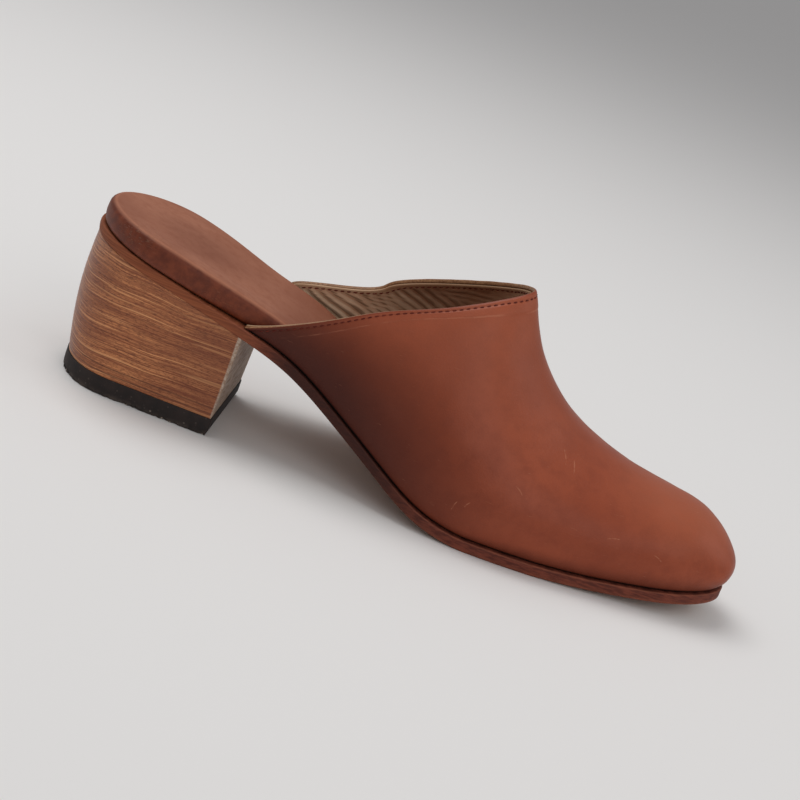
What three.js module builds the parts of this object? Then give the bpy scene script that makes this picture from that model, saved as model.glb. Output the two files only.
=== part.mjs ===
/* A left leather mule clog: an open-backed upper on a full-length sole with a stacked heel.

   Millimetres, +Z up. +X points to the toe and +Y to the outer (lateral) side; the inner (medial) side is -Y.
   Curves are worked out over "stations": distances forward from the back of the heel seat. The finished shoe
   is moved once at the end, so that the origin lies in the middle of its footprint, on the floor. */

import * as THREE from "three";

// ---------------------------------------------------------------- driving dimensions

const SHOE_LENGTH = 248; // back of the heel seat to the tip of the feather line under the toe
const GAP = 0.3; // clearance where two pieces are lasted or cemented together

const WALL = 2.2; // upper leather and its lining, as one wall
const TUCK_SHARE = 0.3; // share of an arch's points that lie below its widest place
const TUCK_SWING = 0.75; // how much of the bulge the tuck has reached a third of the way along
const TUCK_FLAT = 0.12; // share of the widest place's height a third of the way along the tuck
const TUCK_TURN = 0.5; // share of that height two thirds of the way along
const WIDEST_LIMIT = 0.6; // the widest place is never further up an arch than this share of it

const INSOLE_ROUND = 2.4; // radius of the footbed's upper edge
const INSOLE_TUCK = 0.6; // how far the cover is drawn in under the footbed's edge
const INSOLE_TUCK_RISE = 1.2; // height over which it is drawn in
const INSOLE_DISH = 1.0; // how far the middle of the footbed lies below its edge
const INSOLE_DISH_INSET = 10; // how far in from the edge the dish begins
const ROUND_STEPS = 3; // steps of a rounded edge

const SOLE_BEVEL = 0.5; // chamfer round both edges of the outsole

const HEEL_LENGTH = 62; // along the seat, from its back to the breast
const HEEL_BREAST = 61; // station of the breast at the floor
const HEEL_RAKE = 1.5; // how far the back of the heel leans in at the floor
const HEEL_HALF_WIDTH = 27; // half the width of the heel at the floor
const HEEL_ROUND = 22; // length of the round part of the heel at the floor
const HEEL_INSET = 0.4; // how far the top of the heel stays inside the outsole's edge
const HEEL_WAIST = 0.02; // share by which the heel's sides are drawn in halfway up
const HEEL_SWELL = 0.03; // share by which its back swells out halfway up
const TOP_LIFT = 6.6; // rubber top piece
const TOP_LIFT_LIP = 0.3; // how far the rubber stands out past the leather
const TOP_LIFT_BEVEL = 0.5; // chamfer round the lower edge of the rubber

const SEAT_ROUND = 29; // length of the round end of the outline at the heel
const TOE_ROUND = 28; // length of the round end of the outline at the toe
const SEAT_POWER = 2.1; // roundness of the outline and of the heel at the back, 2 is an ellipse
const TOE_POWER = 2.4; // roundness of the toe end

const ARCH_STEPS = 36; // steps of the upper from the topline to the toe
const SIDE_STEPS = 20; // steps of the upper from the sole to the crest, on each side
const PLAN_STEPS = 46; // steps of the outsole and the footbed from heel to toe
const HEEL_STEPS = 20; // steps of the heel from its back to the breast
const LEVEL_STEPS = 5; // steps of the heel from the top lift to the seat
const EASING = 0.8; // how strongly the steps along an outline gather at its round ends, 0 to 1

// ---------------------------------------------------------------- tables, a row per section

/* Rows of numbers under a line of column names, as one object for each row. */
function table(columns, ...rows) {
  const names = columns.split(" ");
  return rows.map((row) => Object.fromEntries(names.map((name, i) => [name, row[i]])));
}

/* Outsole: height of its underside above the floor, its thickness, and how far its edge stands out past the
   feather line (the line where the upper meets the sole). */
const SOLE_ROWS = table(
  "at under thick ledge",
  [0, 51, 3.5, 1.5],
  [30, 46, 3.5, 1.5],
  [60, 38, 3.5, 1.5],
  [80, 32, 4, 1.5],
  [100, 22.5, 4, 1.5],
  [120, 12, 4, 1.5],
  [138, 3.5, 4, 2],
  [152, 0.4, 4, 2],
  [166, -0.3, 4, 2],
  [182, 0, 4, 2],
  [212, 2, 4, 2],
  [248, 7.5, 4, 2],
);

/* Plan outline on the feather line: its middle, and half its width before the two ends are rounded. */
const OUTLINE_ROWS = table(
  "at middle half",
  [0, 0, 26],
  [30, -0.5, 28],
  [60, 3, 28.5],
  [90, 5, 31.5],
  [120, 3.5, 37],
  [150, 1, 40.5],
  [175, -1.5, 37],
  [200, -4, 30],
  [225, -6, 22.5],
  [248, -7.5, 18.5],
);

/* Footbed: how far its edge stays inside the feather line, and its thickness. */
const INSOLE_ROWS = table(
  "at inset thick",
  [0, -0.5, 8.5],
  [44, -0.5, 9],
  [60, 2.5, 8.5],
  [100, 2.5, 7],
  [150, 2.5, 5],
  [248, 3, 4.5],
);

/* Upper: a row per arch, from the topline (order 0) to the tip of the toe. Each arch stands in a plane that
   leans forward from "base", a station on the sole, to the crest, the ridge of the shoe. The bulges are how far
   the widest place stands out past the feather line, and "widest" is its height up the arch. "Full" is how
   upright the wall stays above that place and "Crown" is how broad the top is; 0.55 for both draws an ellipse. */
const UPPER_ROWS = table(
  "order base crestAt crestUp crestSide innerBulge outerBulge widest " +
    "innerFull outerFull innerCrown outerCrown",
  [0, 61.5, 149.5, 86, -6.5, 1.5, 2.5, 36, 0.5, 0.45, 0.4, 0.35],
  [1, 92, 152, 82.5, -6, 4.5, 5, 32.5, 0.5, 0.5, 0.4, 0.4],
  [2, 122, 162, 64.5, -4.5, 4, 6, 22.5, 0.55, 0.45, 0.4, 0.4],
  [3, 152, 181.5, 47.5, -4, 3.5, 7, 14.5, 0.5, 0.45, 0.45, 0.45],
  [4, 178, 202, 40, -4, 2, 5, 11, 0.5, 0.5, 0.5, 0.5],
  [5, 200, 218.5, 37.5, -4.5, 2, 4, 9.5, 0.5, 0.5, 0.5, 0.5],
  [6, 219, 231, 36, -5.5, 1.5, 3, 9, 0.55, 0.55, 0.55, 0.55],
  [7, 234, 241.5, 31.5, -6.5, 1.5, 3, 8, 0.55, 0.55, 0.55, 0.55],
  [8, 243, 250.5, 21.5, -7.5, 1.5, 1.5, 6, 0.55, 0.55, 0.55, 0.55],
  [9, 248, 247.6, 12.6, -7.5, 0.5, 0.5, 1, 0.55, 0.55, 0.55, 0.55],
);

// ---------------------------------------------------------------- curves

/* Natural cubic spline through one column of a table, carried straight on past its first and last rows. */
function spline(rows, column, along = "at") {
  const x = rows.map((row) => row[along]);
  const y = rows.map((row) => row[column]);
  const last = x.length - 1;
  const share = new Array(x.length).fill(0);
  const bend = new Array(x.length).fill(0);
  for (let i = 1; i < last; i++) {
    const before = x[i] - x[i - 1];
    const after = x[i + 1] - x[i];
    const turn = 6 * ((y[i + 1] - y[i]) / after - (y[i] - y[i - 1]) / before);
    const pivot = 2 * (before + after) - before * share[i - 1];
    share[i] = after / pivot;
    bend[i] = (turn - before * bend[i - 1]) / pivot;
  }
  for (let i = last - 1; i > 0; i--) {
    bend[i] -= share[i] * bend[i + 1];
  }
  return (at) => {
    let i = 0;
    while (i < last - 1 && at > x[i + 1]) {
      i++;
    }
    const width = x[i + 1] - x[i];
    const held = Math.min(Math.max(at, x[0]), x[last]);
    const left = (x[i + 1] - held) / width;
    const right = (held - x[i]) / width;
    const sag = (width ** 2 / 6) * (bend[i] * (left ** 3 - left) + bend[i + 1] * (right ** 3 - right));
    const tilt = (width / 6) * (bend[i + 1] * (3 * right ** 2 - 1) - bend[i] * (3 * left ** 2 - 1));
    const slope = (y[i + 1] - y[i]) / width + tilt;
    return y[i] * left + y[i + 1] * right + sag + slope * (at - held);
  };
}

const soleUnder = spline(SOLE_ROWS, "under");
const soleThick = spline(SOLE_ROWS, "thick");
const soleLedge = spline(SOLE_ROWS, "ledge");
const outlineMiddle = spline(OUTLINE_ROWS, "middle");
const outlineHalf = spline(OUTLINE_ROWS, "half");
const insoleInset = spline(INSOLE_ROWS, "inset");
const insoleThick = spline(INSOLE_ROWS, "thick");

/* Underside of the outsole; flat on the floor where the table would dip below it. */
function underside(at) {
  return Math.max(0, soleUnder(at));
}

/* Top face of the outsole. */
function soleTop(at) {
  return underside(at) + soleThick(at);
}

/* Feather line at a station: side is -1 for the inner edge, +1 for the outer edge. */
function feather(at, side) {
  const back = Math.max(0, 1 - at / SEAT_ROUND);
  const front = Math.max(0, 1 - (SHOE_LENGTH - at) / TOE_ROUND);
  const seatEnd = Math.sqrt(Math.max(0, 1 - back ** SEAT_POWER));
  const toeEnd = Math.sqrt(Math.max(0, 1 - front ** TOE_POWER));
  return outlineMiddle(at) + side * outlineHalf(at) * seatEnd * toeEnd;
}

/* Stations from the back, closer together where the outline turns: at the back, and at a front that closes. */
function stations(length, steps, closes) {
  const turn = closes ? Math.PI : Math.PI / 2;
  return Array.from({ length: steps + 1 }, (_, i) => {
    const share = i / steps;
    const eased = (1 - Math.cos(turn * share)) / (closes ? 2 : 1);
    return length * (EASING * eased + (1 - EASING) * share);
  });
}

/* Both edges of the plan outline at the stations, moved outwards in plan by outAt(station). */
function planEdges(along, outAt) {
  const inner = along.map((at) => new THREE.Vector2(at, feather(at, -1)));
  const outer = along.map((at) => new THREE.Vector2(at, feather(at, 1)));
  const last = along.length - 1;
  const closed = inner[last].distanceTo(outer[last]) < 1;
  const move = (own, other, side) =>
    own.map((point, i) => {
      const before = i > 0 ? own[i - 1] : other[1];
      const after = i < last ? own[i + 1] : other[last - 1];
      const run = new THREE.Vector2(after.x - before.x, after.y - before.y).normalize();
      const out = outAt(point.x) * side;
      if (i === last && !closed) {
        return new THREE.Vector2(point.x, point.y + out);
      }
      return new THREE.Vector2(point.x - run.y * out, point.y + run.x * out);
    });
  return { inner: move(inner, outer, -1), outer: move(outer, inner, 1) };
}

/* The same edges lifted to a height that may vary along the shoe. */
function raised(edges, heightAt) {
  const lift = ({ x, y }) => new THREE.Vector3(x, y, heightAt(x));
  return { inner: edges.inner.map(lift), outer: edges.outer.map(lift) };
}

// ---------------------------------------------------------------- closed skins

const NO_AREA = 1e-7; // square millimetres

/* Collects triangles, leaving out those that have no area. */
class Skin {
  constructor() {
    this.corners = [];
  }

  triangle(a, b, c) {
    if (new THREE.Triangle(a, b, c).getArea() > NO_AREA) {
      this.corners.push(a, b, c);
    }
  }

  quad(a, b, c, d) {
    this.triangle(a, b, c);
    this.triangle(a, c, d);
  }

  mesh(name, colour, roughness) {
    const geometry = new THREE.BufferGeometry().setFromPoints(this.corners);
    geometry.computeVertexNormals();
    const material = new THREE.MeshStandardMaterial({ color: colour, roughness, metalness: 0 });
    const mesh = new THREE.Mesh(geometry, material);
    mesh.name = name;
    return mesh;
  }
}

/* Solid from levels stacked upwards, each closed across the shoe from its inner to its outer edge. */
function stacked(levels) {
  const skin = new Skin();
  const rings = levels.map((level) => [...level.inner, ...level.outer.slice().reverse()]);
  const count = rings[0].length;
  const half = count / 2;
  for (let level = 0; level + 1 < rings.length; level++) {
    for (let i = 0; i < count; i++) {
      const next = (i + 1) % count;
      skin.quad(rings[level][i], rings[level][next], rings[level + 1][next], rings[level + 1][i]);
    }
  }
  const floor = rings[0];
  const roof = rings[rings.length - 1];
  for (let i = 0; i + 1 < half; i++) {
    skin.quad(roof[i], roof[i + 1], roof[count - 2 - i], roof[count - 1 - i]);
    skin.quad(floor[i + 1], floor[i], floor[count - 1 - i], floor[count - 2 - i]);
  }
  return skin;
}

// ---------------------------------------------------------------- the pieces

/* D-shaped outline of the heel at the floor, moved outwards by "out"; the breast is its straight side. */
function heelFoot(out) {
  const along = stations(1, HEEL_STEPS, false);
  const length = HEEL_BREAST - HEEL_RAKE + out;
  const edge = (side) =>
    along.map((share) => {
      const back = Math.max(0, 1 - (share * length) / HEEL_ROUND);
      const across = (HEEL_HALF_WIDTH + out) * Math.sqrt(1 - back ** SEAT_POWER);
      return new THREE.Vector2(HEEL_RAKE - out + share * (length + out), side * across);
    });
  return { inner: edge(-1), outer: edge(1) };
}

/* Rubber top lift: a flat D-shaped slab that stands on the floor. */
function topLift() {
  const foot = raised(heelFoot(TOP_LIFT_LIP - TOP_LIFT_BEVEL), () => 0);
  const low = raised(heelFoot(TOP_LIFT_LIP), () => TOP_LIFT_BEVEL);
  const high = raised(heelFoot(TOP_LIFT_LIP), () => TOP_LIFT);
  return stacked([foot, low, high]).mesh("top_lift", 0x2a201d, 0.85);
}

/* A level part of the way up the heel, its back swelling out and its sides drawn in a little. */
function heelLevel(low, high, share) {
  const halfway = Math.sin(Math.PI * share);
  const blend = (from, to) =>
    from.map((point, i) => {
      const { x, y, z } = point.clone().lerp(to[i], share);
      const out = (HEEL_BREAST - x) * HEEL_SWELL * halfway;
      return new THREE.Vector3(x - out, y * (1 - HEEL_WAIST * halfway), z);
    });
  return { inner: blend(low.inner, high.inner), outer: blend(low.outer, high.outer) };
}

/* Stacked leather heel, from the top lift up to the underside of the outsole, which it follows. */
function heelBlock() {
  const along = stations(HEEL_LENGTH, HEEL_STEPS, false);
  const seat = planEdges(along, (at) => soleLedge(at) - HEEL_INSET);
  const low = raised(heelFoot(0), () => TOP_LIFT + GAP);
  const high = raised(seat, (at) => underside(at) - GAP);
  const levels = Array.from({ length: LEVEL_STEPS + 1 }, (_, i) => heelLevel(low, high, i / LEVEL_STEPS));
  return stacked(levels).mesh("heel_block", 0x7a4a30, 0.5);
}

/* Leather outsole, one piece from the heel seat to the toe, with both edges chamfered. */
function outsole() {
  const along = stations(SHOE_LENGTH, PLAN_STEPS, true);
  const full = planEdges(along, soleLedge);
  const trimmed = planEdges(along, (at) => soleLedge(at) - SOLE_BEVEL);
  return stacked([
    raised(trimmed, underside),
    raised(full, (at) => underside(at) + SOLE_BEVEL),
    raised(full, (at) => soleTop(at) - SOLE_BEVEL),
    raised(trimmed, soleTop),
  ]).mesh("outsole", 0x552e26, 0.7);
}

/* Padded footbed: a rounded upper edge and a shallow dish for the foot. */
function insole() {
  const along = stations(SHOE_LENGTH, PLAN_STEPS, true);
  const level = (inset, height) =>
    raised(
      planEdges(along, (at) => -insoleInset(at) - inset),
      (at) => soleTop(at) + GAP + height(at),
    );
  const round = Array.from({ length: ROUND_STEPS + 1 }, (_, i) => {
    const turn = ((i / ROUND_STEPS) * Math.PI) / 2;
    const inset = INSOLE_ROUND * (1 - Math.cos(turn));
    return level(inset, (at) => insoleThick(at) - INSOLE_ROUND * (1 - Math.sin(turn)));
  });
  return stacked([
    level(INSOLE_TUCK, () => 0),
    level(0, () => INSOLE_TUCK_RISE),
    ...round,
    level(INSOLE_DISH_INSET, (at) => insoleThick(at) - INSOLE_DISH),
  ]).mesh("insole", 0x8a5a48, 0.8);
}

const upperAt = Object.fromEntries(
  Object.keys(UPPER_ROWS[0]).map((column) => [column, spline(UPPER_ROWS, column, "order")]),
);

/* Point of a cubic Bezier curve. */
function bezier(a, b, c, d, t) {
  return (1 - t) ** 3 * a + 3 * t * (1 - t) ** 2 * b + 3 * t ** 2 * (1 - t) * c + t ** 3 * d;
}

/* Point on the outside of the upper: order runs down the rows of the table, side is -1 inner or +1 outer, and
   share runs from the feather line (0) round the tuck and over the wall to the crest (1). */
function upperPoint(order, side, share) {
  const base = Math.min(upperAt.base(order), SHOE_LENGTH);
  const foot = soleTop(base) + GAP;
  const lean = new THREE.Vector2(upperAt.crestAt(order) - base, upperAt.crestUp(order) - foot);
  const height = lean.length();
  const widest = Math.min(upperAt.widest(order), WIDEST_LIMIT * height);
  const edge = feather(base, side);
  const [bulge, full, crown] = ["Bulge", "Full", "Crown"].map((column) => {
    return upperAt[(side < 0 ? "inner" : "outer") + column](order);
  });
  const wide = edge + side * bulge;
  const crest = upperAt.crestSide(order);
  let across;
  let up;
  if (share < TUCK_SHARE) {
    const t = share / TUCK_SHARE;
    across = bezier(edge, edge + side * bulge * TUCK_SWING, wide, wide, t);
    up = bezier(0, TUCK_FLAT * widest, TUCK_TURN * widest, widest, t);
  } else {
    const t = (share - TUCK_SHARE) / (1 - TUCK_SHARE);
    across = bezier(wide, wide, crest + crown * (wide - crest), crest, t);
    up = bezier(widest, widest + full * (height - widest), height, height, t);
  }
  lean.multiplyScalar(up / height);
  return new THREE.Vector3(base + lean.x, across, foot + lean.y);
}

/* One-piece upper with its lining: an even wall, open along the topline and where the sole closes it. */
function upper() {
  const across = 2 * SIDE_STEPS;
  const rows = UPPER_ROWS.length - 1;
  const tip = new THREE.Vector3(SHOE_LENGTH, feather(SHOE_LENGTH, 1), soleTop(SHOE_LENGTH) + GAP);
  const outside = Array.from({ length: ARCH_STEPS + 1 }, (_, i) =>
    Array.from({ length: across + 1 }, (_, j) => {
      if (i === ARCH_STEPS) {
        return tip;
      }
      const share = j <= SIDE_STEPS ? j / SIDE_STEPS : (across - j) / SIDE_STEPS;
      return upperPoint((rows * i) / ARCH_STEPS, j <= SIDE_STEPS ? -1 : 1, share);
    }),
  );
  const inside = outside.map((points, i) =>
    points.map((point, j) => {
      if (i === ARCH_STEPS) {
        return tip.clone().add(new THREE.Vector3(-WALL, 0, 0));
      }
      const ahead = outside[i + 1][j].clone().sub(outside[Math.max(i - 1, 0)][j]);
      const around = points[Math.min(j + 1, across)].clone().sub(points[Math.max(j - 1, 0)]);
      const normal = ahead.cross(around).normalize();
      if (j === 0 || j === across) {
        normal.setZ(0).normalize();
      }
      return point.clone().addScaledVector(normal, -WALL);
    }),
  );
  const skin = new Skin();
  for (let i = 0; i < ARCH_STEPS; i++) {
    for (let j = 0; j < across; j++) {
      skin.quad(outside[i][j], outside[i + 1][j], outside[i + 1][j + 1], outside[i][j + 1]);
      skin.quad(inside[i][j], inside[i][j + 1], inside[i + 1][j + 1], inside[i + 1][j]);
    }
    skin.quad(outside[i][0], inside[i][0], inside[i + 1][0], outside[i + 1][0]);
    skin.quad(outside[i][across], outside[i + 1][across], inside[i + 1][across], inside[i][across]);
  }
  for (let j = 0; j < across; j++) {
    skin.quad(outside[0][j], outside[0][j + 1], inside[0][j + 1], inside[0][j]);
  }
  return skin.mesh("upper", 0x804331, 0.45);
}

// ---------------------------------------------------------------- the shoe

const shoe = new THREE.Group();
shoe.name = "mule_shoe";
shoe.add(topLift(), heelBlock(), outsole(), insole(), upper());

const box = new THREE.Box3().setFromObject(shoe);
const middle = box.getCenter(new THREE.Vector3());
for (const piece of shoe.children) {
  piece.geometry.translate(-middle.x, -middle.y, -box.min.z);
}

export default shoe;
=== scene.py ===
# %% [markdown]
# # A leather mule clog for the left foot
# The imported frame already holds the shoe's solids at their true size. This lesson gives them the look of
# the real thing: waxy pull-up leather with a stitched topline, a wrinkled lining, a padded footbed, a rough
# sole edge, a stacked leather heel and a worn rubber lift. We open the frame first, because every later
# size comes from it.

# %% Open the frame
import math

import bmesh
import bpy
import numpy as np
from mathutils import Matrix, Vector


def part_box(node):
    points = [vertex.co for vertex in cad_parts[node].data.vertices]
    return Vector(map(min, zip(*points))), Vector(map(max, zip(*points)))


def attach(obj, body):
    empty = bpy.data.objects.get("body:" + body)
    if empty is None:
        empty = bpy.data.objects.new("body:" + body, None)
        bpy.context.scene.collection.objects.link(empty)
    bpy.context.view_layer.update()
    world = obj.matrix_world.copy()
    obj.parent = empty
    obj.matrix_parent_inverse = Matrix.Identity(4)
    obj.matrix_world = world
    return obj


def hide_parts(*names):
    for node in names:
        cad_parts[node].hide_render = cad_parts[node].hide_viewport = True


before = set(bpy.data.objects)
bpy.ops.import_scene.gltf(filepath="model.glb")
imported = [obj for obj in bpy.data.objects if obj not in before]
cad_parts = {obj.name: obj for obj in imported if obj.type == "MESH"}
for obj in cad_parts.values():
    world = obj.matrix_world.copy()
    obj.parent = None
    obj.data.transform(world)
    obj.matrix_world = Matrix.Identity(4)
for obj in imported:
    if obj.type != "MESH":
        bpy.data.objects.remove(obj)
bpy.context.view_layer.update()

print("nodes:", sorted(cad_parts))

# %% [markdown]
# ## The last, in numbers
# A shoemaker draws a shoe over a last, a foot-shaped block. Ours is a handful of short tables: a row for
# each station, measured in millimetres forward from the back of the heel seat, and named columns. +X points
# to the toe, +Y to the outer side, +Z up. A natural cubic spline runs through each column, the way a
# draughtsman's thin batten bends through pins, so a few rows are enough for a smooth curve.

# %% Driving sizes and tables
SHOE_LENGTH = 248.0
GAP = 0.3
LEATHER = 1.4
LINING = 0.7
TUCK_SHARE, TUCK_SWING, TUCK_FLAT, TUCK_TURN, WIDEST_LIMIT = 0.3, 0.75, 0.12, 0.5, 0.6
SEAT_ROUND, SEAT_POWER = 29.0, 2.1
TOE_ROUND, TOE_POWER = 28.0, 2.4
HEEL_LENGTH = 62.0
HEEL_BREAST, HEEL_RAKE, HEEL_HALF_WIDTH, HEEL_ROUND = 61.0, 1.5, 27.0, 22.0
HEEL_INSET, HEEL_WAIST, HEEL_SWELL = 0.4, 0.02, 0.03
TOP_LIFT = 6.6


def table(columns, *rows):
    """A small table as a dictionary: each named column becomes an array with one number per row."""
    return dict(zip(columns.split(), np.array(rows, float).T))


SOLE = table(
    "at under thick ledge",
    (0, 51, 3.5, 1.5),
    (30, 46, 3.5, 1.5),
    (60, 38, 3.5, 1.5),
    (80, 32, 4, 1.5),
    (100, 22.5, 4, 1.5),
    (120, 12, 4, 1.5),
    (138, 3.5, 4, 2),
    (152, 0.4, 4, 2),
    (166, -0.3, 4, 2),
    (182, 0, 4, 2),
    (212, 2, 4, 2),
    (248, 7.5, 4, 2),
)
OUTLINE = table(
    "at middle half",
    (0, 0, 26),
    (30, -0.5, 28),
    (60, 3, 28.5),
    (90, 5, 31.5),
    (120, 3.5, 37),
    (150, 1, 40.5),
    (175, -1.5, 37),
    (200, -4, 30),
    (225, -6, 22.5),
    (248, -7.5, 18.5),
)
FOOTBED = table(
    "at inset thick",
    (0, -0.5, 8.5),
    (44, -0.5, 9),
    (60, 2.5, 8.5),
    (100, 2.5, 7),
    (150, 2.5, 5),
    (248, 3, 4.5),
)
ARCHES = table(
    "order base crest_at crest_up crest_side in_bulge out_bulge widest in_full out_full in_crown out_crown",
    (0, 61.5, 149.5, 86, -6.5, 1.5, 2.5, 36, 0.5, 0.45, 0.4, 0.35),
    (1, 92, 152, 82.5, -6, 4.5, 5, 32.5, 0.5, 0.5, 0.4, 0.4),
    (2, 122, 162, 64.5, -4.5, 4, 6, 22.5, 0.55, 0.45, 0.4, 0.4),
    (3, 152, 181.5, 47.5, -4, 3.5, 7, 14.5, 0.5, 0.45, 0.45, 0.45),
    (4, 178, 202, 40, -4, 2, 5, 11, 0.5, 0.5, 0.5, 0.5),
    (5, 200, 218.5, 37.5, -4.5, 2, 4, 9.5, 0.5, 0.5, 0.5, 0.5),
    (6, 219, 231, 36, -5.5, 1.5, 3, 9, 0.55, 0.55, 0.55, 0.55),
    (7, 234, 241.5, 31.5, -6.5, 1.5, 3, 8, 0.55, 0.55, 0.55, 0.55),
    (8, 243, 250.5, 21.5, -7.5, 1.5, 1.5, 6, 0.55, 0.55, 0.55, 0.55),
    (9, 248, 247.6, 12.6, -7.5, 0.5, 0.5, 1, 0.55, 0.55, 0.55, 0.55),
)
# The topline is cut a little wavy by hand: millimetres it lies below a straight cut, from the inner
# feather line (-1) over the crest (0) to the outer feather line (+1).
TOPLINE = table(
    "across cut",
    (-1.0, 0.0),
    (-0.75, 0.0),
    (-0.58, -1.4),
    (-0.47, -0.4),
    (-0.3, 0.5),
    (-0.12, 1.4),
    (0.0, 1.6),
    (0.12, 2.4),
    (0.25, 2.5),
    (0.43, 0.8),
    (0.56, 0.0),
    (0.66, 1.4),
    (0.72, 2.6),
    (0.78, -0.6),
    (0.85, -3.2),
    (0.93, -1.2),
    (1.0, 0.0),
)


def spline(rows, column, along="at"):
    """Natural cubic spline through a table's column, carried on straight past its ends. The bends at the rows
    solve one small linear system, which makes the slope and curvature of neighbouring pieces agree."""
    x, y = rows[along], rows[column]
    width = np.diff(x)
    inner = np.arange(1, len(x) - 1)
    system = np.eye(len(x))
    system[inner, inner - 1] = width[:-1]
    system[inner, inner] = 2 * (width[:-1] + width[1:])
    system[inner, inner + 1] = width[1:]
    turn = np.zeros(len(x))
    turn[inner] = 6 * np.diff(np.diff(y) / width)
    bend = np.linalg.solve(system, turn)

    def value(at):
        held = np.clip(at, x[0], x[-1])
        i = np.clip(np.searchsorted(x, held) - 1, 0, len(width) - 1)
        left, right = (x[i + 1] - held) / width[i], (held - x[i]) / width[i]
        sag = width[i] ** 2 / 6 * (bend[i] * (left**3 - left) + bend[i + 1] * (right**3 - right))
        tilt = width[i] / 6 * (bend[i + 1] * (3 * right**2 - 1) - bend[i] * (3 * left**2 - 1))
        slope = (y[i + 1] - y[i]) / width[i] + tilt
        return y[i] * left + y[i + 1] * right + sag + slope * (at - held)

    return value


sole_under, sole_thick, sole_ledge = (spline(SOLE, column) for column in ("under", "thick", "ledge"))
outline_middle, outline_half = spline(OUTLINE, "middle"), spline(OUTLINE, "half")
footbed_inset, footbed_thick = spline(FOOTBED, "inset"), spline(FOOTBED, "thick")
arch_column = {column: spline(ARCHES, column, "order") for column in ARCHES}
topline_cut = spline(TOPLINE, "cut", "across")
print("ball of the foot, half width at station 150:", float(outline_half(150)), "mm")

# %% [markdown]
# ## From the last to the frame
# The tables count from the heel, but the frame's origin lies in the middle of the shoe's footprint and
# counts in metres. Two known places tie them together: the back of the outsole, and the middle line of the
# top lift.

# %% Placing and surface helpers
MM = 0.001
BACK_OF_SOLE = -float(sole_ledge(0.0))
MIDDLE_X = BACK_OF_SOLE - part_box("outsole")[0].x / MM
MIDDLE_Y = -(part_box("top_lift")[0].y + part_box("top_lift")[1].y) / 2 / MM
print("the frame's origin is at station", round(MIDDLE_X, 2), "and", round(MIDDLE_Y, 2), "mm to the side")


def to_frame(points):
    """Shoe millimetres to frame metres: take away the middle of the footprint, then scale."""
    return (np.asarray(points, float) - (MIDDLE_X, MIDDLE_Y, 0.0)) * MM


def unit(vectors):
    """Vectors scaled to length one."""
    return vectors / np.maximum(np.linalg.norm(vectors, axis=-1, keepdims=True), 1e-9)


def underside(at):
    """Underside of the outsole: the table's spline, held flat on the floor where it would dip below it."""
    return np.maximum(0.0, sole_under(at))


def sole_top(at):
    """Top face of the outsole: underside plus thickness."""
    return underside(at) + sole_thick(at)


def feather(at, side):
    """Feather line, where upper meets sole: middle plus side times half width, rounded off at both ends by
    flattened ellipses."""
    back = np.clip(1 - at / SEAT_ROUND, 0, 1)
    front = np.clip(1 - (SHOE_LENGTH - at) / TOE_ROUND, 0, 1)
    ends = np.sqrt(1 - back**SEAT_POWER) * np.sqrt(1 - front**TOE_POWER)
    return outline_middle(at) + side * outline_half(at) * ends


def bezier(a, b, c, d, t):
    """Cubic Bezier curve: the four points weighted by the terms of (1 - t + t) cubed."""
    return (1 - t) ** 3 * a + 3 * t * (1 - t) ** 2 * b + 3 * t**2 * (1 - t) * c + t**3 * d


def upper_surface(order, across):
    """Outside of the upper. Each arch stands in a plane that leans from its base on the sole to the crest.
    From the feather line a short curve swings out to the widest place, and a Bezier curve climbs from there
    to the crest. across runs from -1 (inner feather line) over 0 (crest) to 1 (outer feather line)."""
    side = np.where(across < 0, -1.0, 1.0)
    share = 1 - np.abs(across)
    column = {name: at(order) for name, at in arch_column.items()}
    base = np.minimum(column["base"], SHOE_LENGTH)
    foot = sole_top(base) + GAP
    run, rise = column["crest_at"] - base, column["crest_up"] - foot
    height = np.maximum(np.hypot(run, rise), 1e-6)
    widest = np.minimum(column["widest"], WIDEST_LIMIT * height)
    pick = lambda what: np.where(side < 0, column["in_" + what], column["out_" + what])
    edge = feather(base, side)
    wide = edge + side * pick("bulge")
    crest = column["crest_side"]
    low, high = np.clip(share / TUCK_SHARE, 0, 1), np.clip((share - TUCK_SHARE) / (1 - TUCK_SHARE), 0, 1)
    tuck_y = bezier(edge, edge + TUCK_SWING * (wide - edge), wide, wide, low)
    tuck_up = bezier(0, TUCK_FLAT * widest, TUCK_TURN * widest, widest, low)
    wall_y = bezier(wide, wide, crest + pick("crown") * (wide - crest), crest, high)
    wall_up = bezier(widest, widest + pick("full") * (height - widest), height, height, high)
    tucked = share < TUCK_SHARE
    y, up = np.where(tucked, tuck_y, wall_y), np.where(tucked, tuck_up, wall_up)
    return np.stack([base + run / height * up, y, foot + rise / height * up], -1)


def grid_normals(grid):
    """Outward normals of a grid: the step towards the toe crossed with the step towards the outer side."""
    return unit(np.cross(np.gradient(grid, axis=0), np.gradient(grid, axis=1)))


def path_length(points, axis):
    """Distance covered from the first point, summed step by step along one axis of a grid."""
    steps = np.linalg.norm(np.diff(points, axis=axis), axis=-1)
    start = np.zeros_like(np.take(steps, [0], axis=axis))
    return np.concatenate([start, np.cumsum(steps, axis=axis)], axis=axis)


def undulation(points, wavelength, seed, waves=9):
    """Smooth noise from about -1 to 1: a sum of plane waves with seeded directions, lengths and phases."""
    random = np.random.default_rng(seed)
    heading = unit(random.normal(size=(waves, 3)))
    heading *= 2 * np.pi / (wavelength * random.uniform(0.7, 1.5, (waves, 1)))
    phase = random.uniform(0, 2 * np.pi, waves)
    return np.sin(points @ heading.T + phase).sum(-1) / math.sqrt(waves)


def bump_at(distance, centre, width):
    """A soft ridge: a bell curve of the distance, one unit high and about width wide."""
    return np.exp(-(((distance - centre) / width) ** 2))


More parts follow.
